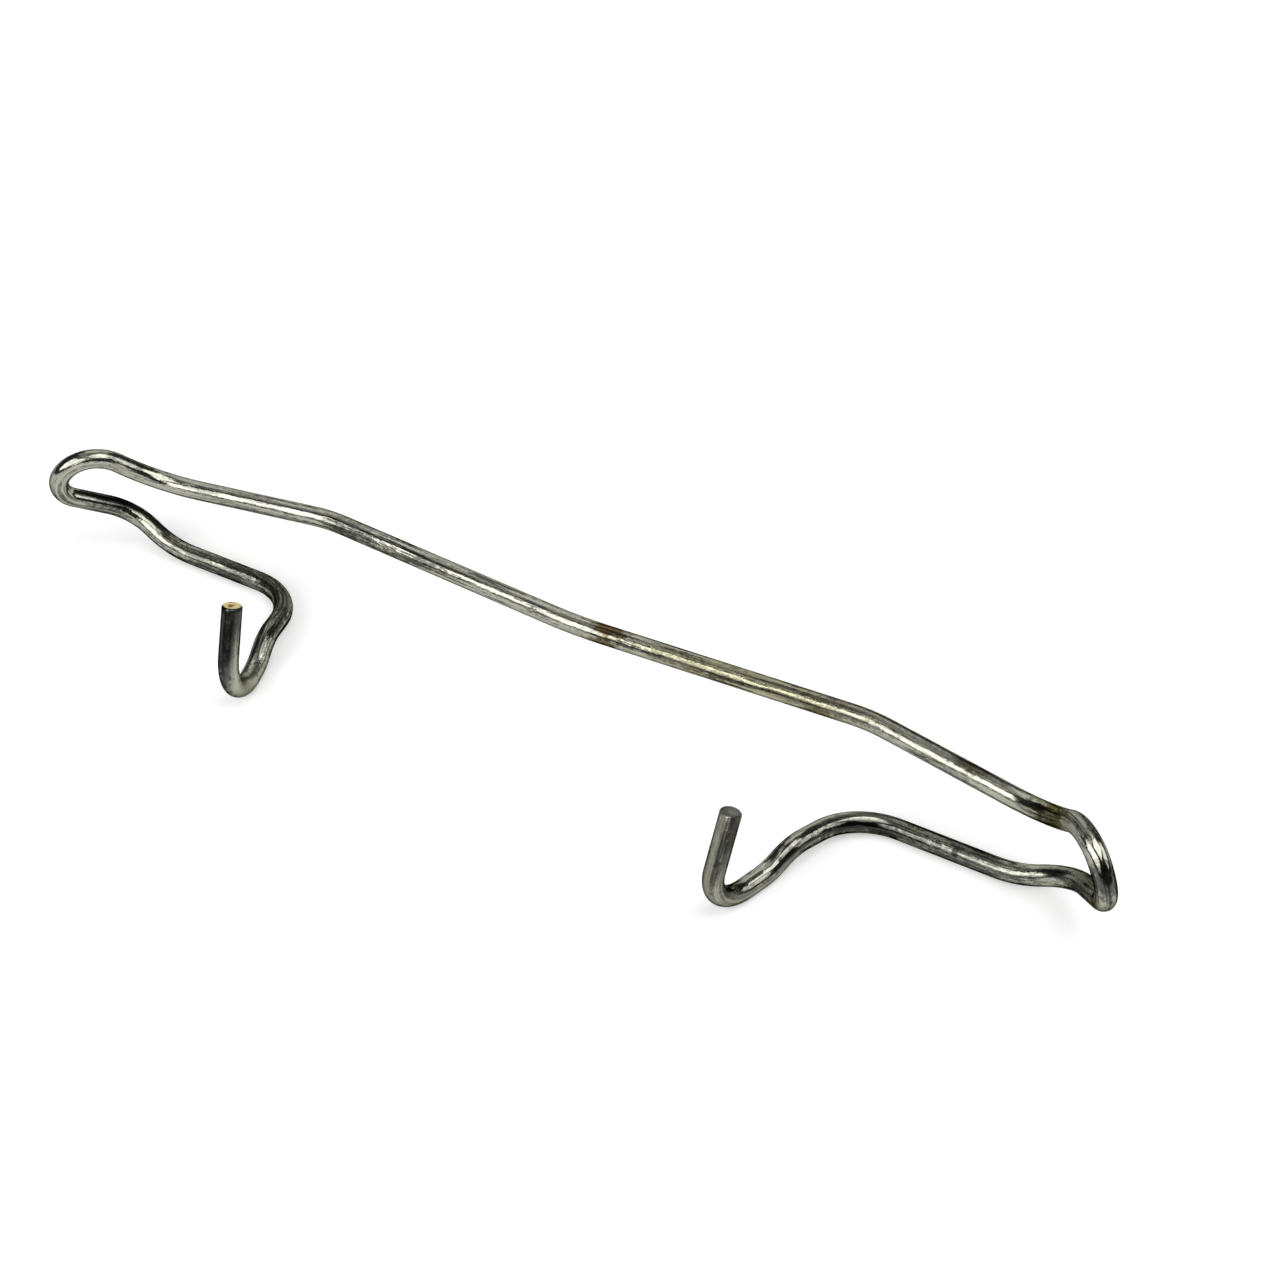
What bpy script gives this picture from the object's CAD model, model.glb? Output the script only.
"""Bent wire form: the looks of one length of drawn spring wire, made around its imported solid.

The wire is swept again along the solid's own centre line, fine enough to carry the flats that the bending
tools press into it, and finished as worn, stained steel with sheared ends. Lengths are in metres and
angles in radians, but where a comment says otherwise.
"""
import math

import bmesh
import bpy
import numpy as np
from bpy.props import FloatProperty, FloatVectorProperty, IntProperty, PointerProperty
from mathutils import Matrix, Vector


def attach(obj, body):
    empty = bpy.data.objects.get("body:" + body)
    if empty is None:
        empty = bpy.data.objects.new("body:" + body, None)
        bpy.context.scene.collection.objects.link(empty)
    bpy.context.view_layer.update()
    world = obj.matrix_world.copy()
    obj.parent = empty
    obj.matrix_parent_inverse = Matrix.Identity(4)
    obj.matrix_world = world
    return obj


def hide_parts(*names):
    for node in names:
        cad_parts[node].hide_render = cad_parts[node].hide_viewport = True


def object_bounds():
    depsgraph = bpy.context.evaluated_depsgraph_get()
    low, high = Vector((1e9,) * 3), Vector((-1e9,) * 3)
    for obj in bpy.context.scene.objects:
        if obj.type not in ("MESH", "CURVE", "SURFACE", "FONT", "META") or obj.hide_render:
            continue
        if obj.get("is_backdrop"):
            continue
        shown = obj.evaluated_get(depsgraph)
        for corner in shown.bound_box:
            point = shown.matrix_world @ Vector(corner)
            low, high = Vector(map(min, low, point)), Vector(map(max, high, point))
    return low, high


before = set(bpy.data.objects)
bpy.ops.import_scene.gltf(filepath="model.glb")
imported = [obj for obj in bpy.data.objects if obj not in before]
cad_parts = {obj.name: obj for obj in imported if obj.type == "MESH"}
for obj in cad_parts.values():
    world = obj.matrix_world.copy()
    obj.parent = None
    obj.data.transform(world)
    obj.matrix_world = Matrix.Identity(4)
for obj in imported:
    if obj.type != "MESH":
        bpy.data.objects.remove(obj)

bl_info = {
    "name": "Bent Wire Form",
    "version": (1, 0, 0),
    "blender": (4, 5, 0),
    "location": "View3D > Sidebar > Wire Form",
    "description": "Builds the visible wire of a bent wire form and the stage that it lies on",
    "category": "Object",
}

NODE = "wire_form"
BODY = "root"
PLACE = "drawn_place"
BAKE_MAP = "OFBake"
MM = 0.001
CAD_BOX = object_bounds()

# The camera's sensor in millimetres, and how near and how far it sees
SENSOR = 36.0
NEAREST, FARTHEST = 0.01, 100.0

WHITE = (1.0, 1.0, 1.0, 1.0)

# A stretch of the centre line that turns less than this is straight
STRAIGHT = 1e-4

# Keeps a flat's plane to the side of the wire that it faces
LEAST_COSINE = 0.1

# Forms of a pressed flat along the wire: two slopes that meet in a crease, or one round hollow
CREASED, ROUNDED = 1, 2

# Start of the random draws for the nicks, and the smallest nick as a share of the largest
NICK_SEED = 7
SMALLEST_NICK = 0.3

# Ends of the wire, as places in a list of its rings, and its parts, as numbers of its materials
LEFT_TIP, RIGHT_TIP = 0, -1
SIDE, LEFT_CUT, RIGHT_CUT = 0, 1, 2

# Rings that close a tip, as shares of the wire's radius, and how much further a sheared face falls
# away on one side
TIP_RINGS = (0.80, 0.55, 0.28, 0.0)
SHEAR_LEAN = 0.6

# Weights of the cloudy patches, the coarse lines and the fine grain in the film on the steel, and the
# sums at which the film begins and is at its thickest
PATCH_FILM, LINE_FILM, GRAIN_FILM = 0.45, 0.55, 0.6
FILM_BEGINS, FILM_THICKEST = 0.3, 1.08

# Weights of the fine lines, the specks and the patches in the relief, the least share of it that a
# smooth mark leaves, and its depth on the drawn side and on the cuts
LINE_RELIEF, SPECK_RELIEF, PATCH_RELIEF = 0.7, 0.55, 0.7
LEAST_RELIEF = 0.15
SIDE_RELIEF, CUT_RELIEF = 0.013 * MM, 0.03 * MM

# Mottle is longer along the wire, by the inverse of the last share, and stains have a grain and a raggedness
MOTTLE_SHARES = (1.0, 1.0, 0.4)
STAIN_GRAIN, STAIN_RAGGEDNESS = 1100.0, 2.6

# Lamps, all at one distance: name, then azimuth, elevation, width and height in degrees as seen from
# the wire, then the setting that gives the strength, and the share of it that the lamp has
LAMP_DISTANCE = 0.9
LAMPS = (
    ("key_light", -164, 37, 58, 38, "key_strength", 1.0),
    ("side_light", 64, 31, 38, 26, "side_strength", 1.0),
    ("top_light", 92, 70, 46, 38, "top_strength", 1.0),
    ("white_card", -35, 27, 36, 54, "card_strength", 1.0),
    ("upper_card", -57, 58, 32, 27, "card_strength", 0.5),
    ("high_card", -122, 71, 20, 8, "card_strength", 1.0),
)

# Ways that a mark on the wire faces
UPPER, FRONT, TO_EYE = (0.0, -0.05, 1.0), (0.0, -1.0, -0.1), (0.4, -0.65, 0.67)
LEFT, RIGHT, LOWER = (-0.4, -1.0, 0.0), (0.9, -0.3, 0.2), (0.4, -0.85, 0.4)
CREST = (0.3, -0.25, 0.9)

# Marks on the wire: station from the left tip, way that it faces, reach along and across the wire, tone
# and strength, with lengths in millimetres. A smooth mark calms the grain, a dull one takes away the
# shine, and any other lays its colour on the steel.
MARKS = (
    (5, TO_EYE, 30, 6, "smooth", 0.8),
    (80, TO_EYE, 14, 6, "smooth", 0.6),
    (270, TO_EYE, 20, 6, "smooth", 0.85),
    (312, TO_EYE, 12, 6, "smooth", 0.9),
    (338, TO_EYE, 32, 6, "smooth", 0.9),
    (3, TO_EYE, 12, 4, "dull", 0.45),
    (18, TO_EYE, 7, 4, "dull", 0.5),
    (37, TO_EYE, 9, 4, "dull", 0.6),
    (257, TO_EYE, 5, 4, "dull", 1.0),
    (269, TO_EYE, 4, 4, "dull", 0.5),
    (276, TO_EYE, 6, 4, "dull", 0.7),
    (350, TO_EYE, 14, 4, "dull", 0.9),
    (16, TO_EYE, 7.5, 3.2, "steel", 1.0),
    (263.4, TO_EYE, 1.8, 2.6, "steel", 0.9),
    (92, TO_EYE, 11, 2.4, "steel", 0.6),
    (115, TO_EYE, 14, 2.4, "steel", 0.5),
    (174, TO_EYE, 6, 2.4, "steel", 0.6),
    (225, TO_EYE, 16, 2.4, "steel", 0.7),
    (243, TO_EYE, 7, 2.4, "steel", 0.75),
    (10, RIGHT, 7, 0.8, "steel", 0.45),
    (53, TO_EYE, 12, 0.8, "steel", 0.2),
    (67, TO_EYE, 5, 1.3, "steel", 0.8),
    (297, TO_EYE, 14, 1.1, "steel", 0.4),
    (303, CREST, 6, 0.6, "steel", 1.0),
    (312, UPPER, 9, 0.9, "steel", 1.0),
    (320, UPPER, 5, 1.6, "steel", 0.95),
    (330, UPPER, 5, 1.8, "steel", 0.95),
    (338, TO_EYE, 8, 3, "steel", 0.2),
    (349, LEFT, 11, 0.9, "steel", 0.45),
    (202, TO_EYE, 22, 2.6, "straw", 0.75),
    (181, UPPER, 3.2, 1.5, "rust", 0.95),
    (180.5, FRONT, 2.8, 0.9, "rust", 0.8),
    (214, FRONT, 2.4, 0.8, "rust", 0.6),
    (237.4, UPPER, 2.8, 1.2, "rust", 0.75),
    (252.3, TO_EYE, 5.2, 3, "olive", 0.8),
    (252.6, TO_EYE, 4.6, 2.6, "soot", 0.35),
    (135, TO_EYE, 5.5, 2.2, "soot", 0.6),
    (74, UPPER, 6.5, 2.1, "soot", 0.9),
    (266.4, TO_EYE, 2.7, 3.4, "soot", 0.9),
    (278, TO_EYE, 8, 3.2, "soot", 0.55),
    (0.4, TO_EYE, 0.7, 3, "soot", 0.7),
    (350, TO_EYE, 11, 3.4, "smoke", 0.42),
    (350, TO_EYE, 6, 0.7, "soot", 0.65),
    (313, LOWER, 10, 1.25, "soot", 0.85),
    (50, FRONT, 12, 1.2, "soot", 0.5),
    (194, LOWER, 12, 0.65, "soot", 0.65),
    (215, LOWER, 12, 0.65, "soot", 0.65),
    (297, LOWER, 14, 1.1, "soot", 0.3),
    (298, FRONT, 12, 0.8, "soot", 0.5),
    (304, TO_EYE, 4.5, 0.8, "soot", 0.6),
    (326, FRONT, 7, 1.2, "soot", 0.3),
    (274, TO_EYE, 5, 3.4, "soot", 0.35),
    (40, TO_EYE, 10, 2, "soot", 0.25),
    (3, TO_EYE, 8, 1.6, "soot", 0.4),
    (345, TO_EYE, 3, 0.6, "soot", 0.6),
    (4, LEFT, 9, 1.9, "soot", 0.95),
    (298.6, TO_EYE, 0.6, 1.0, "soot", 0.9),
)


def unit(v):
    """The vector with a length of one."""
    return v / np.linalg.norm(v)


def compass(azimuth, elevation):
    """Direction at an azimuth from +Y towards +X and an elevation above the floor."""
    flat = math.cos(elevation)
    return Vector((math.sin(azimuth) * flat, math.cos(azimuth) * flat, math.sin(elevation)))


# Sizes and colours


class WireShape(bpy.types.PropertyGroup):
    """How finely the wire is swept, and what its making left in the surface."""

    ring_step: FloatProperty(
        name="Ring step", description="Distance along the wire between rings of points",
        default=0.27 * MM, min=0.1 * MM, max=2 * MM, unit="LENGTH", precision=5)
    ring_points: IntProperty(
        name="Ring points", description="Points round the wire", default=56, min=12, max=96)
    tool_flat_depth: FloatProperty(
        name="Tool flat depth", description="How deep the bending tool presses a flat inside a bend",
        default=0.1 * MM, min=0, max=0.3 * MM, unit="LENGTH", precision=5)
    tool_flat_length: FloatProperty(
        name="Tool flat length", description="Length of such a flat along the wire",
        default=3.8 * MM, min=0.5 * MM, max=8 * MM, unit="LENGTH", precision=5)
    tool_flat_turn: FloatProperty(
        name="Least turn", description="Bends that turn less than this carry no flat",
        default=math.radians(20), min=0, max=math.pi, subtype="ANGLE")
    skin_inset: FloatProperty(
        name="Skin inset", description="How far the swept skin keeps inside the solid's round",
        default=0.01 * MM, min=0, max=0.1 * MM, unit="LENGTH", precision=5)
    nick_count: IntProperty(
        name="Nicks", description="Small dents from handling, spread over the wire",
        default=46, min=0, max=400)
    nick_depth: FloatProperty(
        name="Nick depth", description="Depth of the deepest nicks",
        default=0.03 * MM, min=0, max=0.2 * MM, unit="LENGTH", precision=5)
    nick_length: FloatProperty(
        name="Nick length", description="Length of the longest nicks along the wire",
        default=1.8 * MM, min=0.2 * MM, max=6 * MM, unit="LENGTH", precision=5)
    shear_depth: FloatProperty(
        name="Shear depth", description="How far the sheared ends fall away across the wire",
        default=0.16 * MM, min=0, max=0.5 * MM, unit="LENGTH", precision=5)
    left_slant: FloatProperty(
        name="Left slant", description="Slant of the left cut towards the front",
        default=math.radians(8), min=-0.4, max=0.4, subtype="ANGLE")
    right_slant: FloatProperty(
        name="Right slant", description="Slant of the right cut towards the front",
        default=math.radians(-4), min=-0.4, max=0.4, subtype="ANGLE")
    slant_reach: FloatProperty(
        name="Slant reach", description="Length of wire over which the rings turn to a slanted cut",
        default=1.6 * MM, min=0.5 * MM, max=5 * MM, unit="LENGTH", precision=5)


class WireFinish(bpy.types.PropertyGroup):
    """Colours and shine of the worn steel."""

    steel: FloatVectorProperty(
        name="Steel", description="Bare drawn steel", subtype="COLOR",
        default=(0.375, 0.378, 0.315), min=0, max=1)
    patina: FloatVectorProperty(
        name="Patina", description="Dark film on the steel", subtype="COLOR",
        default=(0.08, 0.081, 0.07), min=0, max=1)
    rust: FloatVectorProperty(
        name="Rust", description="Brown rust film over the steel", subtype="COLOR",
        default=(0.32, 0.22, 0.11), min=0, max=1)
    olive: FloatVectorProperty(
        name="Olive stain", description="Old oil film over the steel", subtype="COLOR",
        default=(0.36, 0.32, 0.17), min=0, max=1)
    straw: FloatVectorProperty(
        name="Straw stain", description="Thin yellow film over the steel", subtype="COLOR",
        default=(0.88, 0.82, 0.6), min=0, max=1)
    soot: FloatVectorProperty(
        name="Soot", description="Black marks on the steel", subtype="COLOR",
        default=(0.2, 0.2, 0.22), min=0, max=1)
    smoke: FloatVectorProperty(
        name="Smoke", description="Thin brown-grey film over the steel", subtype="COLOR",
        default=(0.46, 0.41, 0.39), min=0, max=1)
    cut_bright: FloatVectorProperty(
        name="Bright cut", description="Yellowed face of the cleaner cut", subtype="COLOR",
        default=(0.95, 0.80, 0.46), min=0, max=1)
    cut_core: FloatVectorProperty(
        name="Cut core", description="Brown core of the cleaner cut", subtype="COLOR",
        default=(0.36, 0.20, 0.07), min=0, max=1)
    cut_dull: FloatVectorProperty(
        name="Dull cut", description="Greyed face of the older cut", subtype="COLOR",
        default=(0.25, 0.25, 0.235), min=0, max=1)
    smoothest: FloatProperty(
        name="Smoothest", description="Roughness where the steel is rubbed bright", subtype="FACTOR",
        default=0.06, min=0.02, max=1)
    roughest: FloatProperty(
        name="Roughest", description="Roughness under the thickest film", subtype="FACTOR",
        default=0.14, min=0.02, max=1)
    dullest: FloatProperty(
        name="Dullest", description="Roughness where the steel has gone matt", subtype="FACTOR",
        default=0.42, min=0.02, max=1)
    edge_tint: FloatVectorProperty(
        name="Edge tint", description="Tint of the shine at a glancing angle, where the film dulls it",
        subtype="COLOR", default=(0.15, 0.15, 0.13), min=0, max=1)


class StageSettings(bpy.types.PropertyGroup):
    """Camera, lamps, room and floor."""

    eye: FloatVectorProperty(
        name="Eye", description="Where the camera stands", subtype="TRANSLATION", unit="LENGTH",
        default=(0.13007, -0.19500, 0.22903))
    aim: FloatVectorProperty(
        name="Aim", description="Point at the middle of the picture", subtype="TRANSLATION",
        unit="LENGTH", default=(0.00842, 0.01754, 0.0098))
    roll: FloatProperty(
        name="Roll", description="Turn of the camera about its line of sight", subtype="ANGLE",
        default=math.radians(-0.5))
    lens: FloatProperty(
        name="Lens", description="Focal length in millimetres",
        default=64.2, min=10, max=300, unit="CAMERA")
    floor_radius: FloatProperty(
        name="Floor radius", description="Reach of the floor", default=12.0, min=1, unit="LENGTH")
    floor_colour: FloatVectorProperty(
        name="Floor", description="Colour of the floor", subtype="COLOR",
        default=(0.74, 0.74, 0.74), min=0, max=1)
    floor_glow: FloatProperty(
        name="Floor glow", description="Light added where the floor is seen, so that it shows white",
        default=0.38, min=0, max=1)
    lit_radius: FloatProperty(
        name="Lit radius", description="Beyond this, out of the lamps' reach, the floor turns plain white",
        default=0.3, min=0.1, unit="LENGTH")
    backdrop_rise: FloatProperty(
        name="Backdrop rise", description="How high the white backdrop stands above the horizon",
        default=math.radians(4), min=0, max=0.5, subtype="ANGLE")
    ceiling_colour: FloatVectorProperty(
        name="Ceiling", description="Colour of the room overhead", subtype="COLOR",
        default=(0.12, 0.12, 0.118), min=0, max=1)
    room_colour: FloatVectorProperty(
        name="Dim room", description="Colour of the rest of the room", subtype="COLOR",
        default=(0.045, 0.047, 0.045), min=0, max=1)
    key_strength: FloatProperty(
        name="Key light", description="Brightness of the wide window-like light", default=3.3, min=0)
    side_strength: FloatProperty(
        name="Side light", description="Brightness of the light opposite the key", default=1.9, min=0)
    top_strength: FloatProperty(
        name="Top light", description="Brightness of the light overhead", default=2.6, min=0)
    card_strength: FloatProperty(
        name="Cards", description="Brightness of the pale cards", default=0.95, min=0)


# The wire's centre line, read from the solid


def face_islands(mesh):
    """A number for each vertex, alike for all vertices of one face of the solid."""
    edges = np.empty(len(mesh.edges) * 2, np.int64)
    mesh.edges.foreach_get("vertices", edges)
    ends = edges.reshape(-1, 2)
    island = np.arange(len(mesh.vertices))
    while True:
        lower = island.copy()
        np.minimum.at(lower, ends[:, 0], island[ends[:, 1]])
        np.minimum.at(lower, ends[:, 1], island[ends[:, 0]])
        lower = lower[lower]
        if (lower == island).all():
            return island
        island = lower


def shared_rings(mesh):
    """The points that each face of the solid shares with each neighbour: {face: {neighbour: points}}."""
    points = np.empty(len(mesh.vertices) * 3)
    mesh.vertices.foreach_get("co", points)
    points = points.reshape(-1, 3)
    meeting = {}
    for island, point in zip(face_islands(mesh), points):
        meeting.setdefault(tuple(np.round(point, 6)), {})[int(island)] = point
    rings = {}
    for owners in meeting.values():
        for one in owners:
            for other in owners:
                if one != other:
                    rings.setdefault(one, {}).setdefault(other, []).append(owners[one])
    return rings


def circle_through(points):
    """Centre, axis and radius of the circle that the points lie on."""
    middle = points.mean(0)
    axes = np.linalg.svd(points - middle, full_matrices=False)[2]
    flat = (points - middle) @ axes[:2].T
    sides = np.c_[2 * flat, np.ones(len(flat))]
    x, y, rest = np.linalg.lstsq(sides, (flat ** 2).sum(1), rcond=None)[0]
    return middle + x * axes[0] + y * axes[1], axes[2], math.sqrt(rest + x * x + y * y)


def wire_sections():
    """Circles across the wire where its straights and bends meet, from the left tip to the right one."""
    rings = shared_rings(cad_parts[NODE].data)
    tips = [face for face, beside in rings.items() if len(beside) == 1]
    if len(tips) != 2:
        raise RuntimeError("the solid isn't one wire with two ends")
    starts = [circle_through(np.array(next(iter(rings[tip].values()))))[0][0] for tip in tips]
    face = tips[int(np.argmin(starts))]
    come_from, sections = None, []
    while True:
        onward = [other for other in rings[face] if other != come_from]
        if not onward:
            break
        sections.append(circle_through(np.array(rings[face][onward[0]])))
        come_from, face = face, onward[0]
    centres = np.array([s[0] for s in sections])
    heading = np.gradient(centres, axis=0)
    ways = [s[1] * np.sign(s[1] @ h) for s, h in zip(sections, heading)]
    return centres, np.array(ways), np.array([s[2] for s in sections])


class CentreLine:
    """Straights and round bends between sections, with places along it measured from the left tip."""

    def __init__(self, step):
        self.centres, self.ways, radii = wire_sections()
        self.radius = float(np.median(radii))
        self.tip_radius = float(min(radii))
        chords = np.linalg.norm(np.diff(self.centres, axis=0), axis=1)
        self.turns = np.arccos(np.clip((self.ways[:-1] * self.ways[1:]).sum(1), -1, 1))
        half = np.maximum(self.turns, STRAIGHT) / 2
        self.lengths = np.where(self.turns > STRAIGHT, chords * half / np.sin(half), chords)
        self.starts = np.r_[0, np.cumsum(self.lengths)]
        self.length = float(self.starts[-1])
        self.frames = swept_frames(self, step)

    def inward(self, i):
        """Direction from the start of a bend to its centre."""
        return unit(self.ways[i + 1] - self.ways[i] * math.cos(self.turns[i]))

    def at(self, station):
        """Point of the centre line, and the way along it, at a distance from the left tip."""
        i = int(np.clip(np.searchsorted(self.starts, station, "right") - 1, 0, len(self.lengths) - 1))
        share = (station - self.starts[i]) / self.lengths[i]
        if self.turns[i] < STRAIGHT:
            return self.centres[i] + share * (self.centres[i + 1] - self.centres[i]), self.ways[i]
        angle, inward = share * self.turns[i], self.inward(i)
        bend = self.lengths[i] / self.turns[i]
        point = self.centres[i] + bend * (math.sin(angle) * self.ways[i] + (1 - math.cos(angle)) * inward)
        return point, math.cos(angle) * self.ways[i] + math.sin(angle) * inward

    def drawn_place(self, station, facing):
        """Place on the straight wire, before it was bent, of the skin that faces a way at a station."""
        stations, _, sides, others = self.frames
        k = int(np.argmin(np.abs(stations - station)))
        turn = math.atan2(others[k] @ np.array(facing), sides[k] @ np.array(facing))
        return (self.radius * math.cos(turn), self.radius * math.sin(turn), station)

    def bends(self, least_turn):
        """Middle station, and direction to the inside, of each bend that turns enough."""
        for i in np.flatnonzero(self.turns >= least_turn):
            half = self.turns[i] / 2
            inside = math.cos(half) * self.inward(i) - math.sin(half) * self.ways[i]
            yield self.starts[i] + self.lengths[i] / 2, inside


# The swept wire


def swept_frames(line, step):
    """Stations, points and the two directions across the wire at each ring, carried on without twist."""
    count = max(2, round(line.length / step)) + 1
    stations = np.linspace(0, line.length, count)
    points, sides, ways = [], [], []
    side = np.array([0.0, 0.0, 1.0])
    for station in stations:
        point, way = line.at(station)
        side = unit(side - (side @ way) * way)
        points.append(point)
        sides.append(side)
        ways.append(way)
    sides, ways = np.array(sides), np.array(ways)
    return stations, np.array(points), sides, np.cross(ways, sides)


def pressed_flats(line, shape):
    """Flats in the wire: station, way that it faces, half length, depth and form of each."""
    for station, inside in line.bends(shape.tool_flat_turn):
        yield station, inside, shape.tool_flat_length / 2, shape.tool_flat_depth, CREASED
    chance = np.random.default_rng(NICK_SEED)
    for _ in range(shape.nick_count):
        facing = unit(chance.normal(size=3))
        half = shape.nick_length / 2 * chance.uniform(SMALLEST_NICK, 1)
        station = chance.uniform(0, line.length)
        yield station, facing, half, shape.nick_depth * chance.uniform(SMALLEST_NICK, 1), ROUNDED


def wire_radii(line, shape, stations, sides, others, angles):
    """Distance of each swept point from the centre line: the wire's radius, less what is pressed in."""
    radii = np.full((len(stations), len(angles)), line.radius - shape.skin_inset)
    for station, facing, half, depth, form in pressed_flats(line, shape):
        near = np.flatnonzero(np.abs(stations - station) < half)
        if not len(near):
            continue
        fade = 1 - np.abs((stations[near] - station) / half) ** form
        turn = np.arctan2(others[near] @ facing, sides[near] @ facing)
        cosine = np.maximum(np.cos(angles[None, :] - turn[:, None]), LEAST_COSINE)
        face = (line.radius - depth * fade)[:, None] / cosine
        radii[near] = np.minimum(radii[near], face)
    return radii


def tip_taper(line, stations):
    """Share of its radius that the wire keeps at each station: all of it, but less on the tips' bevels."""
    bevel = line.radius - line.tip_radius
    inside = np.minimum(stations, line.length - stations)
    return 1 - (bevel - np.minimum(inside, bevel)) / line.radius


class WireSkin:
    """The wire's points, their places on the wire before it was bent, its faces and the part of each."""

    def __init__(self, line, shape):
        self.line, self.shape = line, shape
        self.stations, self.points, self.sides, self.others = line.frames
        self.angles = np.arange(shape.ring_points) * 2 * math.pi / shape.ring_points
        self.cos, self.sin = np.cos(self.angles), np.sin(self.angles)
        self.radii = wire_radii(line, shape, self.stations, self.sides, self.others, self.angles)
        self.radii *= tip_taper(line, self.stations)[:, None]
        self.faces, self.parts = [], []
        self.sweep()
        self.cap(LEFT_TIP, LEFT_CUT, shape.left_slant)
        self.cap(RIGHT_TIP, RIGHT_CUT, shape.right_slant)

    def into(self, end):
        """Way from a tip into the wire."""
        beside = 1 if end == LEFT_TIP else -2
        return unit(self.points[beside] - self.points[end])

    def cut_fall(self, end, slant, spread):
        """How far points of a slanted cut, at a distance from its middle, lie behind its highest one."""
        turn = math.atan2(self.others[end] @ np.array(TO_EYE), self.sides[end] @ np.array(TO_EYE))
        toward = np.cos(self.angles - turn) * math.copysign(1, slant)
        return abs(math.tan(slant)) * (self.line.radius + spread * toward)

    def add_band(self, low, high, part, flip=False):
        """Faces between two rings, or between a ring and one point in its middle."""
        count = len(low)
        for j in range(count):
            k = (j + 1) % count
            ends = (high[k], high[j]) if len(high) == count else (high[0],)
            corners = [int(i) for i in (low[j], low[k], *ends)]
            self.faces.append(corners[::-1] if flip else corners)
            self.parts.append(part)

    def sweep(self):
        """Makes the drawn side, whose ends turn to the slanted cuts."""
        shape, around = self.shape, len(self.angles)
        across = (self.cos[None, :, None] * self.sides[:, None]
                  + self.sin[None, :, None] * self.others[:, None])
        spots = self.points[:, None] + self.radii[..., None] * across
        for end, slant in ((LEFT_TIP, shape.left_slant), (RIGHT_TIP, shape.right_slant)):
            from_tip = np.abs(self.stations - self.stations[end])
            near = np.flatnonzero(from_tip < shape.slant_reach)
            share = 1 - from_tip[near] / shape.slant_reach
            fall = self.cut_fall(end, slant, self.radii[end])
            spots[near] += share[:, None, None] * fall[None, :, None] * self.into(end)
        along = np.repeat(self.stations[:, None], around, 1)
        self.co = spots.reshape(-1, 3)
        self.place = np.stack([self.radii * self.cos, self.radii * self.sin, along], -1).reshape(-1, 3)
        self.rings = np.arange(len(self.co)).reshape(-1, around)
        for low, high in zip(self.rings[:-1], self.rings[1:]):
            self.add_band(low, high, SIDE)

    def cap(self, end, part, slant):
        """Makes the sheared face at a tip: rings towards its hollow middle, on the slant of the cut."""
        ring = self.rings[end]
        for share in TIP_RINGS:
            spread = self.radii[end] * share * self.line.radius / self.line.tip_radius
            hollow = self.shape.shear_depth / 2 * (1 - share ** 2) * (1 + SHEAR_LEAN * self.cos * share)
            fall = hollow + self.cut_fall(end, slant, spread)
            x, y = spread * self.cos, spread * self.sin
            flat = x[:, None] * self.sides[end] + y[:, None] * self.others[end]
            made = self.points[end] + flat + fall[:, None] * self.into(end)
            where = np.stack([x, y, np.full(len(x), self.stations[end])], -1)
            if share == 0:
                made, where = made.mean(0, keepdims=True), where.mean(0, keepdims=True)
            new = np.arange(len(made)) + len(self.co)
            self.co, self.place = np.vstack([self.co, made]), np.vstack([self.place, where])
            self.add_band(ring, new, part, flip=end == LEFT_TIP)
            ring = new


def unrolled_map(mesh, line, strips=6, margin=0.03, cut_reach=0.45):
    """A map of the wire unrolled and cut into strips side by side, with the two cut faces in a last strip.

    The margin at a strip's edges and the reach of a cut face are shares of a strip's height.
    """
    layer = mesh.uv_layers.new(name=BAKE_MAP)
    place = mesh.attributes[PLACE].data
    long = line.length / strips
    tall = 1 / (strips + 1)
    cut_scale = tall * cut_reach / line.radius
    cut_middles = {LEFT_CUT: (0.25, 1 - tall / 2), RIGHT_CUT: (0.75, 1 - tall / 2)}
    for face in mesh.polygons:
        spots = [place[mesh.loops[k].vertex_index].vector for k in face.loop_indices]
        if face.material_index != SIDE:
            u, v = cut_middles[face.material_index]
            for k, spot in zip(face.loop_indices, spots):
                layer.uv[k].vector = (u + spot[0] * cut_scale, v + spot[1] * cut_scale)
            continue
        strip = min(int(min(s[2] for s in spots) / long + 1e-6), strips - 1)
        turns = [math.atan2(s[1], s[0]) / (2 * math.pi) % 1 for s in spots]
        over = max(turns) - min(turns) > 0.5
        for k, spot, turn in zip(face.loop_indices, spots, turns):
            v = turn + 1 if over and turn < 0.5 else turn
            u = margin / 4 + (1 - margin / 2) * (spot[2] / long - strip)
            layer.uv[k].vector = (u, (strip + margin + (1 - 2 * margin) * v) * tall)


def wire_mesh(line, shape):
    """The wire's mesh, with its three parts: drawn side, left cut and right cut."""
    skin = WireSkin(line, shape)
    mesh = bpy.data.meshes.new("bent_wire")
    mesh.from_pydata(skin.co.tolist(), [], skin.faces)
    mesh.attributes.new(PLACE, "FLOAT_VECTOR", "POINT").data.foreach_set("vector", skin.place.ravel())
    mesh.polygons.foreach_set("material_index", skin.parts)
    mesh.polygons.foreach_set("use_smooth", [True] * len(skin.parts))
    unrolled_map(mesh, line)
    mesh.update()
    if mesh.validate():
        raise RuntimeError("the swept wire has faulty faces")
    return mesh


# Shader node groups


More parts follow.
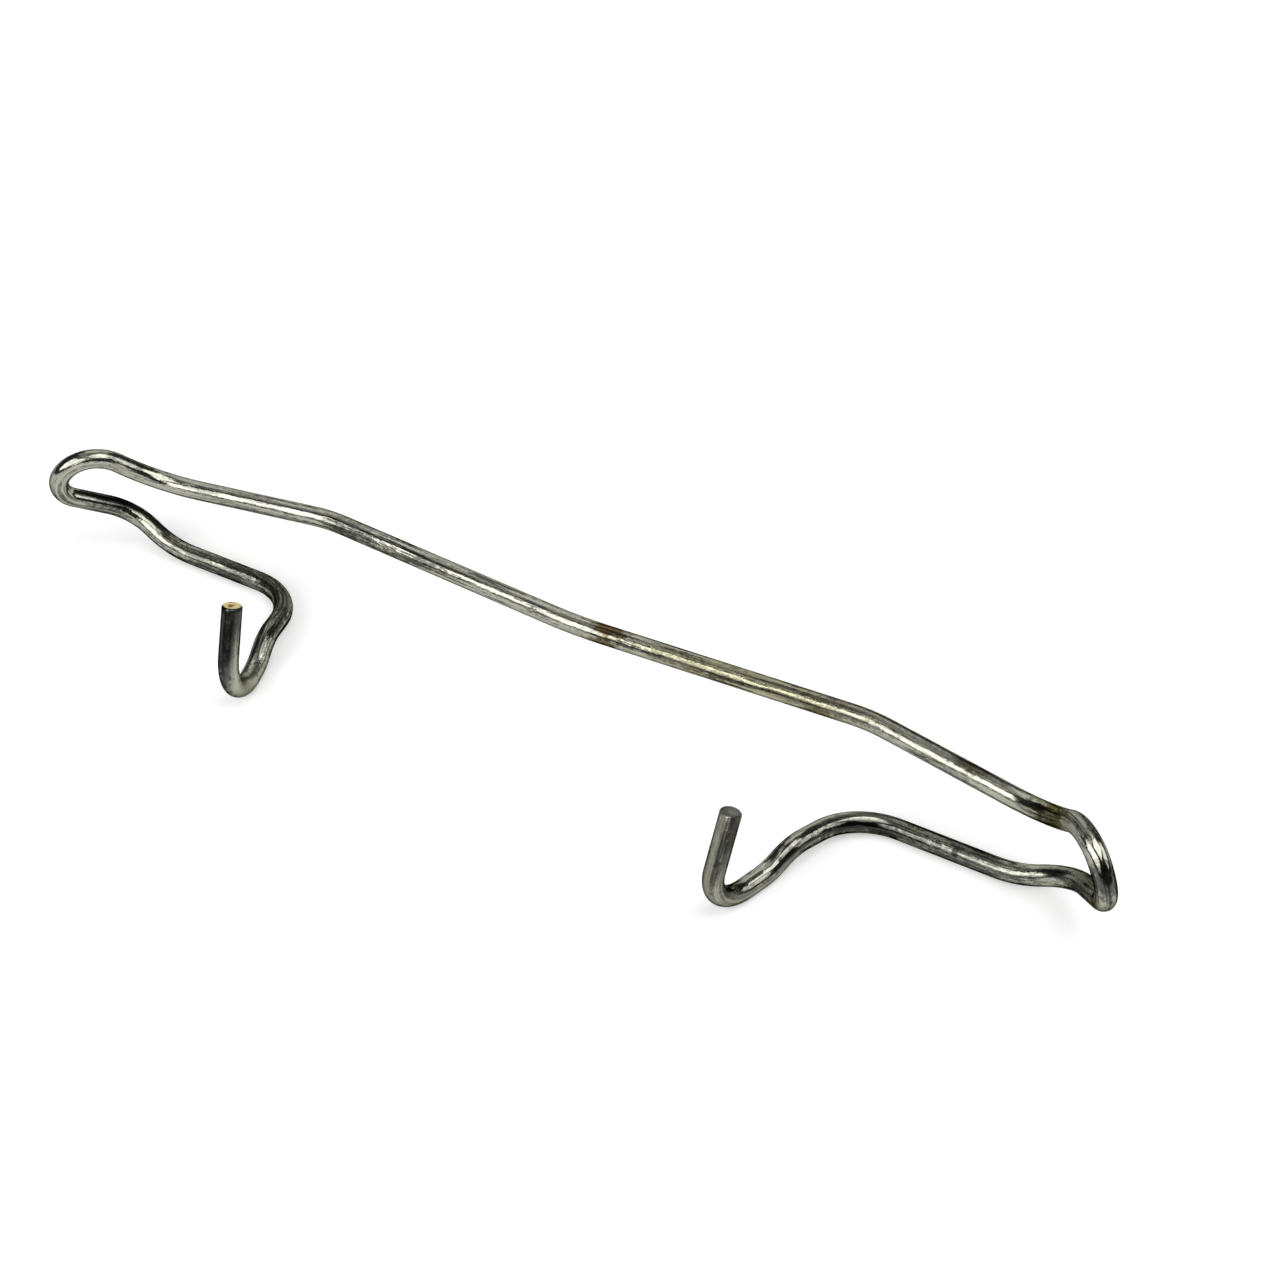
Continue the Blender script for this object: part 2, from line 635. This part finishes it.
class Nodes:
    """Adds nodes to a tree and links them."""

    def __init__(self, tree):
        self.tree = tree

    def add(self, kind, settings=None, **inputs):
        """A node with its settings, whose inputs are values or other nodes' outputs."""
        node = self.tree.nodes.new(kind)
        for name, value in (settings or {}).items():
            setattr(node, name, value)
        for name, value in inputs.items():
            self.join(node, name.replace("_", " "), value)
        return node

    def feed(self, socket, value):
        """Links an output to an input, or sets the input's value."""
        if isinstance(value, bpy.types.NodeSocket):
            self.tree.links.new(value, socket)
        else:
            socket.default_value = value

    def join(self, node, name, value):
        """Feeds the input that has a name."""
        found = [s for s in node.inputs if s.name == name and s.enabled]
        if not found:
            raise RuntimeError(f"{node.name} has no input {name}")
        self.feed(found[0], value)

    def math(self, operation, a, b=0.0):
        """A sum, product or other step with two numbers."""
        node = self.add("ShaderNodeMath", {"operation": operation})
        self.feed(node.inputs[0], a)
        self.feed(node.inputs[1], b)
        return node.outputs[0]

    def total(self, *parts):
        """The sum of some values, each times its weight."""
        products = [self.math("MULTIPLY", value, weight) for value, weight in parts]
        whole = products[0]
        for product in products[1:]:
            whole = self.math("ADD", whole, product)
        return whole

    def vector(self, operation, a, b=None):
        """A step with one or two vectors, of which a length comes out as a number."""
        node = self.add("ShaderNodeVectorMath", {"operation": operation})
        self.feed(node.inputs[0], a)
        if b is not None:
            self.feed(node.inputs[1], b)
        return node.outputs["Value" if operation == "LENGTH" else "Vector"]

    def spread(self, value, low, high, to_low=0.0, to_high=1.0):
        """A value moved smoothly from one span to another."""
        node = self.add("ShaderNodeMapRange", {"interpolation_type": "SMOOTHSTEP"})
        for name, what in (("Value", value), ("From Min", low), ("From Max", high),
                           ("To Min", to_low), ("To Max", to_high)):
            self.join(node, name, what)
        return node.outputs["Result"]

    def blend(self, share, first, second, kind="MIX"):
        """Two colours mixed by a share, or the second laid over the first as a film."""
        node = self.add("ShaderNodeMix", {"data_type": "RGBA", "blend_type": kind})
        sockets = [s for s in node.inputs if s.enabled]
        for socket, value in zip(sockets, (share, first, second)):
            self.feed(socket, value)
        return [s for s in node.outputs if s.enabled][0]


def new_group(name, inputs, outputs):
    """An empty node group with its sockets, and its input and output nodes."""
    group = bpy.data.node_groups.new(name, "ShaderNodeTree")
    for label, kind in inputs:
        group.interface.new_socket(label, in_out="INPUT", socket_type=kind)
    for label, kind in outputs:
        group.interface.new_socket(label, in_out="OUTPUT", socket_type=kind)
    nodes = Nodes(group)
    return group, nodes, nodes.add("NodeGroupInput"), nodes.add("NodeGroupOutput")


def draw_lines_group():
    """Fine lines along the wire, left by the drawing die."""
    group, nodes, given, out = new_group(
        "Draw lines",
        [("Place", "NodeSocketVector"), ("Fineness", "NodeSocketFloat"), ("Length", "NodeSocketFloat")],
        [("Lines", "NodeSocketFloat")])
    longer = nodes.math("MULTIPLY", given.outputs["Fineness"], given.outputs["Length"])
    scale = nodes.add("ShaderNodeCombineXYZ", X=1.0, Y=1.0, Z=nodes.math("DIVIDE", 1.0, longer))
    drawn_out = nodes.vector("MULTIPLY", given.outputs["Place"], scale.outputs[0])
    noise = nodes.add("ShaderNodeTexNoise", Vector=drawn_out, Scale=given.outputs["Fineness"],
                      Detail=3.0, Roughness=0.6)
    nodes.join(out, "Lines", nodes.spread(noise.outputs[0], 0.3, 0.7))
    return group


def mottle_group():
    """Cloudy patches and fine specks in the film on the steel."""
    group, nodes, given, out = new_group(
        "Mottle",
        [("Place", "NodeSocketVector"), ("Patch size", "NodeSocketFloat"),
         ("Speck size", "NodeSocketFloat")],
        [("Patches", "NodeSocketFloat"), ("Specks", "NodeSocketFloat")])
    drawn_out = nodes.vector("MULTIPLY", given.outputs["Place"], MOTTLE_SHARES)
    for label, size, detail in (("Patches", "Patch size", 5.0), ("Specks", "Speck size", 2.0)):
        scale = nodes.math("DIVIDE", 1.0, given.outputs[size])
        noise = nodes.add("ShaderNodeTexNoise", Vector=drawn_out, Scale=scale,
                          Detail=detail, Roughness=0.62)
        nodes.join(out, label, nodes.spread(noise.outputs[0], 0.32, 0.68))
    return group


def stain_group():
    """A ragged patch on the wire round one spot."""
    group, nodes, given, out = new_group(
        "Stain patch",
        [("Place", "NodeSocketVector"), ("Spot", "NodeSocketVector"), ("Reach", "NodeSocketVector")],
        [("Mask", "NodeSocketFloat")])
    off = nodes.vector("SUBTRACT", given.outputs["Place"], given.outputs["Spot"])
    share = nodes.vector("LENGTH", nodes.vector("DIVIDE", off, given.outputs["Reach"]))
    noise = nodes.add("ShaderNodeTexNoise", Vector=given.outputs["Place"],
                      Scale=STAIN_GRAIN, Detail=4.0, Roughness=0.68)
    ragged = nodes.math("MULTIPLY", nodes.math("SUBTRACT", noise.outputs[0], 0.5), STAIN_RAGGEDNESS)
    nodes.join(out, "Mask", nodes.spread(nodes.math("ADD", share, ragged), 1.15, 0.45))
    return group


# Materials


def group_node(nodes, group, **inputs):
    """A group placed in a tree, with its inputs."""
    return nodes.add("ShaderNodeGroup", {"node_tree": group}, **inputs)


def rgba(colour):
    """A colour with its alpha."""
    return (*colour, 1.0)


def new_material(name):
    """A material with nothing in it but its output."""
    material = bpy.data.materials.new(name)
    material.use_nodes = True
    material.node_tree.nodes.clear()
    nodes = Nodes(material.node_tree)
    return material, nodes, nodes.add("ShaderNodeOutputMaterial")


def steel_shader(nodes, out, finish, colour, roughness, height, depth):
    """The metal shader with a colour, a roughness and a fine relief."""
    bump = nodes.add("ShaderNodeBump", Height=height, Distance=depth, Strength=1.0)
    shader = nodes.add("ShaderNodeBsdfPrincipled", Metallic=1.0)
    nodes.join(shader, "Base Color", colour)
    nodes.join(shader, "Roughness", roughness)
    nodes.join(shader, "Specular Tint", rgba(finish.edge_tint))
    nodes.join(shader, "Normal", bump.outputs[0])
    nodes.join(out, "Surface", shader.outputs[0])


def film_outward(nodes, place, line):
    """Film that thickens outwards: none on the rubbed bar, some on the arms, most on the legs.

    Each rise runs between two shares of the half wire, and ends at the film that it adds.
    """
    half = line.length / 2
    along = nodes.add("ShaderNodeSeparateXYZ", Vector=place).outputs["Z"]
    off = nodes.math("ABSOLUTE", nodes.math("SUBTRACT", along, half))
    arms = nodes.spread(off, 0.52 * half, 0.64 * half, 0.0, 0.34)
    legs = nodes.spread(off, 0.9 * half, 0.95 * half, 0.0, 0.02)
    return nodes.math("ADD", arms, legs)


def mark_mask(nodes, groups, place, line, mark):
    """Where one mark lies on the wire, times its strength."""
    station, facing, along, across, _, strength = mark
    spot = line.drawn_place(station * MM, facing)
    reach = (across * MM, across * MM, along * MM)
    patch = group_node(nodes, groups["stain"], Place=place, Spot=spot, Reach=reach)
    return nodes.math("MULTIPLY", patch.outputs[0], strength)


def all_marks(nodes, groups, place, line, tone):
    """Where any mark of one tone lies."""
    masks = [mark_mask(nodes, groups, place, line, mark) for mark in MARKS if mark[4] == tone]
    whole = masks[0]
    for mask in masks[1:]:
        whole = nodes.math("MAXIMUM", whole, mask)
    return whole


def drawn_steel(finish, groups, line):
    """The wire's side: drawn steel under a worn, stained film."""
    material, nodes, out = new_material("drawn_spring_steel")
    place = nodes.add("ShaderNodeAttribute", {"attribute_name": PLACE}).outputs["Vector"]
    lines = group_node(nodes, groups["lines"], Place=place, Fineness=4600.0, Length=7 * MM).outputs[0]
    coarse = group_node(nodes, groups["lines"], Place=place, Fineness=2200.0, Length=14 * MM).outputs[0]
    mottle = group_node(nodes, groups["mottle"], Place=place, Patch_size=3.4 * MM, Speck_size=0.32 * MM)
    patches, specks = mottle.outputs["Patches"], mottle.outputs["Specks"]
    grainy = nodes.math("SUBTRACT", 1.0, all_marks(nodes, groups, place, line, "smooth"))
    grain = nodes.total((nodes.math("SUBTRACT", specks, 0.5), GRAIN_FILM),
                        (nodes.math("SUBTRACT", lines, 0.5), GRAIN_FILM),
                        (nodes.spread(coarse, 0.6, 0.85), 0.5))
    film = nodes.total((patches, PATCH_FILM), (coarse, LINE_FILM), (grain, grainy))
    film = nodes.math("ADD", film, film_outward(nodes, place, line))
    film = nodes.spread(film, FILM_BEGINS, FILM_THICKEST)
    colour = nodes.blend(film, rgba(finish.steel), rgba(finish.patina))
    rough = nodes.spread(film, 0.0, 1.0, finish.smoothest, finish.roughest)
    dull = all_marks(nodes, groups, place, line, "dull")
    rough = nodes.math("ADD", rough, nodes.math("MULTIPLY", dull, finish.dullest - finish.smoothest))
    for mark in MARKS:
        tone = mark[4]
        if tone not in ("smooth", "dull"):
            mask = mark_mask(nodes, groups, place, line, mark)
            kind = "MIX" if tone == "steel" else "MULTIPLY"
            colour = nodes.blend(mask, colour, rgba(getattr(finish, tone)), kind)
    height = nodes.total((lines, LINE_RELIEF), (specks, SPECK_RELIEF), (patches, PATCH_RELIEF))
    height = nodes.math("MULTIPLY", height, nodes.math("MAXIMUM", grainy, LEAST_RELIEF))
    steel_shader(nodes, out, finish, colour, rough, height, SIDE_RELIEF)
    return material


def cut_steel(name, face, core, finish, groups, line):
    """A sheared end: a face colour round a core of another colour, with a dark rim.

    The core and the rim lie between shares of the wire's radius, which the mottle makes uneven.
    """
    material, nodes, out = new_material(name)
    place = nodes.add("ShaderNodeAttribute", {"attribute_name": PLACE}).outputs["Vector"]
    off = nodes.vector("LENGTH", nodes.vector("MULTIPLY", place, (1.0, 1.0, 0.0)))
    mottle = group_node(nodes, groups["mottle"], Place=place, Patch_size=1.1 * MM, Speck_size=0.25 * MM)
    specks = mottle.outputs["Specks"]
    uneven = nodes.math("MULTIPLY", nodes.math("SUBTRACT", mottle.outputs["Patches"], 0.5), 0.5)
    share = nodes.math("ADD", nodes.math("DIVIDE", off, line.radius), uneven)
    colour = nodes.blend(nodes.spread(share, 0.5, 0.12), rgba(face), rgba(core))
    colour = nodes.blend(nodes.spread(share, 0.84, 1.0), colour, rgba(finish.patina))
    rough = nodes.spread(specks, 0.0, 1.0, 0.3, 0.5)
    steel_shader(nodes, out, finish, colour, rough, specks, CUT_RELIEF)
    return material


def floor_material(stage):
    """White floor that keeps its shadows, and shows white to the eye, in metal and through glass."""
    material, nodes, out = new_material("white_floor")
    ray = nodes.add("ShaderNodeLightPath")
    seen = nodes.math("MAXIMUM", ray.outputs["Is Camera Ray"], ray.outputs["Is Glossy Ray"])
    seen = nodes.math("MAXIMUM", seen, ray.outputs["Is Transmission Ray"])
    shader = nodes.add("ShaderNodeBsdfDiffuse", Color=rgba(stage.floor_colour))
    spot = nodes.add("ShaderNodeNewGeometry").outputs["Position"]
    far = nodes.spread(nodes.vector("LENGTH", spot), stage.lit_radius, 2 * stage.lit_radius)
    strength = nodes.math("MULTIPLY", seen, nodes.math("MAXIMUM", far, stage.floor_glow))
    glow = nodes.add("ShaderNodeEmission", Color=WHITE, Strength=strength)
    both = nodes.add("ShaderNodeAddShader")
    nodes.feed(both.inputs[0], shader.outputs[0])
    nodes.feed(both.inputs[1], glow.outputs[0])
    nodes.join(out, "Surface", both.outputs[0])
    return material


# Stage


def softbox(name, azimuth, elevation, width, height, strength):
    """A flat lamp that faces the middle of the floor, as bright as its strength says at any distance."""
    lamp = bpy.data.lights.new(name, "AREA")
    lamp.shape = "RECTANGLE"
    lamp.size = 2 * LAMP_DISTANCE * math.tan(math.radians(width) / 2)
    lamp.size_y = 2 * LAMP_DISTANCE * math.tan(math.radians(height) / 2)
    lamp.energy = strength * math.pi * lamp.size * lamp.size_y
    made = bpy.data.objects.new(name, lamp)
    bpy.context.scene.collection.objects.link(made)
    made.location = compass(math.radians(azimuth), math.radians(elevation)) * LAMP_DISTANCE
    made.rotation_euler = made.location.to_track_quat("Z", "Y").to_euler()
    made.visible_camera = False


def room_light(stage):
    """A room that is dim but for its ceiling and for a low white backdrop all round.

    The ceiling and the backdrop begin and end softly, at heights given as sines of their elevations.
    """
    world = bpy.data.worlds.new("room")
    bpy.context.scene.world = world
    world.use_nodes = True
    world.node_tree.nodes.clear()
    nodes = Nodes(world.node_tree)
    out = nodes.add("ShaderNodeOutputWorld")
    toward = nodes.add("ShaderNodeTexCoord").outputs["Generated"]
    up = nodes.add("ShaderNodeSeparateXYZ", Vector=toward).outputs["Z"]
    colour = nodes.blend(nodes.spread(up, 0.72, 0.9), rgba(stage.room_colour), rgba(stage.ceiling_colour))
    rise = math.sin(stage.backdrop_rise)
    colour = nodes.blend(nodes.spread(up, rise, 0.6 * rise), colour, WHITE)
    light = nodes.add("ShaderNodeBackground", Color=colour, Strength=1.0)
    nodes.join(out, "Surface", light.outputs[0])


def place_camera(stage):
    """The camera at the eye, turned to the aim and rolled about its line of sight."""
    data = bpy.data.cameras.new("camera")
    data.sensor_width, data.lens = SENSOR, stage.lens
    data.clip_start, data.clip_end = NEAREST, FARTHEST
    camera = bpy.data.objects.new("camera", data)
    bpy.context.scene.collection.objects.link(camera)
    eye, aim = Vector(stage.eye), Vector(stage.aim)
    turn = (aim - eye).to_track_quat("-Z", "Y").to_matrix().to_4x4()
    camera.matrix_world = Matrix.Translation(eye) @ turn @ Matrix.Rotation(stage.roll, 4, "Z")
    bpy.context.scene.camera = camera


# Operators and panel


class WIREFORM_OT_bend_wire(bpy.types.Operator):
    """Sweep the wire along the solid's centre line and finish it as worn steel"""

    bl_idname = "wireform.bend_wire"
    bl_label = "Bent Wire"

    def execute(self, context):
        shape, finish = context.scene.wire_shape, context.scene.wire_finish
        line = CentreLine(shape.ring_step)
        wire = bpy.data.objects.new("bent_wire", wire_mesh(line, shape))
        context.scene.collection.objects.link(wire)
        groups = {"lines": draw_lines_group(), "mottle": mottle_group(), "stain": stain_group()}
        wire.data.materials.append(drawn_steel(finish, groups, line))
        for name, face, core in (("yellowed_cut", finish.cut_bright, finish.cut_core),
                                 ("dull_cut", finish.cut_dull, finish.steel)):
            wire.data.materials.append(cut_steel(name, face, core, finish, groups, line))
        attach(wire, BODY)
        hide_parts(NODE)
        return {"FINISHED"}


class WIREFORM_OT_set_stage(bpy.types.Operator):
    """Lay the white floor and set the lamps and the camera"""

    bl_idname = "wireform.set_stage"
    bl_label = "Stage"

    def execute(self, context):
        stage = context.scene.wire_stage
        mesh = bpy.data.meshes.new("floor")
        disc = bmesh.new()
        bmesh.ops.create_circle(disc, cap_ends=True, segments=96, radius=stage.floor_radius)
        disc.to_mesh(mesh)
        disc.free()
        floor = bpy.data.objects.new("floor", mesh)
        context.scene.collection.objects.link(floor)
        mesh.materials.append(floor_material(stage))
        floor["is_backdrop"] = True
        for name, azimuth, elevation, width, height, setting, share in LAMPS:
            softbox(name, azimuth, elevation, width, height, getattr(stage, setting) * share)
        room_light(stage)
        place_camera(stage)
        context.scene.view_settings.view_transform = "Standard"
        return {"FINISHED"}


class WIREFORM_PT_panel(bpy.types.Panel):
    """Sizes, colours and steps of the wire form"""

    bl_label = "Wire Form"
    bl_idname = "WIREFORM_PT_panel"
    bl_space_type = "VIEW_3D"
    bl_region_type = "UI"
    bl_category = "Wire Form"

    def draw(self, context):
        scene = context.scene
        for step, settings in ((WIREFORM_OT_bend_wire, (scene.wire_shape, scene.wire_finish)),
                               (WIREFORM_OT_set_stage, (scene.wire_stage,))):
            box = self.layout.box()
            box.operator(step.bl_idname)
            for group in settings:
                for name in group.__annotations__:
                    box.prop(group, name)


CLASSES = (
    WireShape, WireFinish, StageSettings,
    WIREFORM_OT_bend_wire, WIREFORM_OT_set_stage, WIREFORM_PT_panel,
)
SETTINGS = {"wire_shape": WireShape, "wire_finish": WireFinish, "wire_stage": StageSettings}


def register():
    """Registers the classes and puts their settings on the scene."""
    for kind in CLASSES:
        bpy.utils.register_class(kind)
    for name, kind in SETTINGS.items():
        setattr(bpy.types.Scene, name, PointerProperty(type=kind))


def unregister():
    """Takes the settings and classes away again."""
    for name in SETTINGS:
        delattr(bpy.types.Scene, name)
    for kind in reversed(CLASSES):
        bpy.utils.unregister_class(kind)


def main():
    """Makes the wire and its stage."""
    register()
    bpy.ops.wireform.bend_wire()
    bpy.ops.wireform.set_stage()
    bpy.context.view_layer.update()
    boxes = {"cad": CAD_BOX, "visual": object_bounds()}
    {name: [list(corner) for corner in box] for name, box in boxes.items()}


if __name__ == "__main__":
    main()
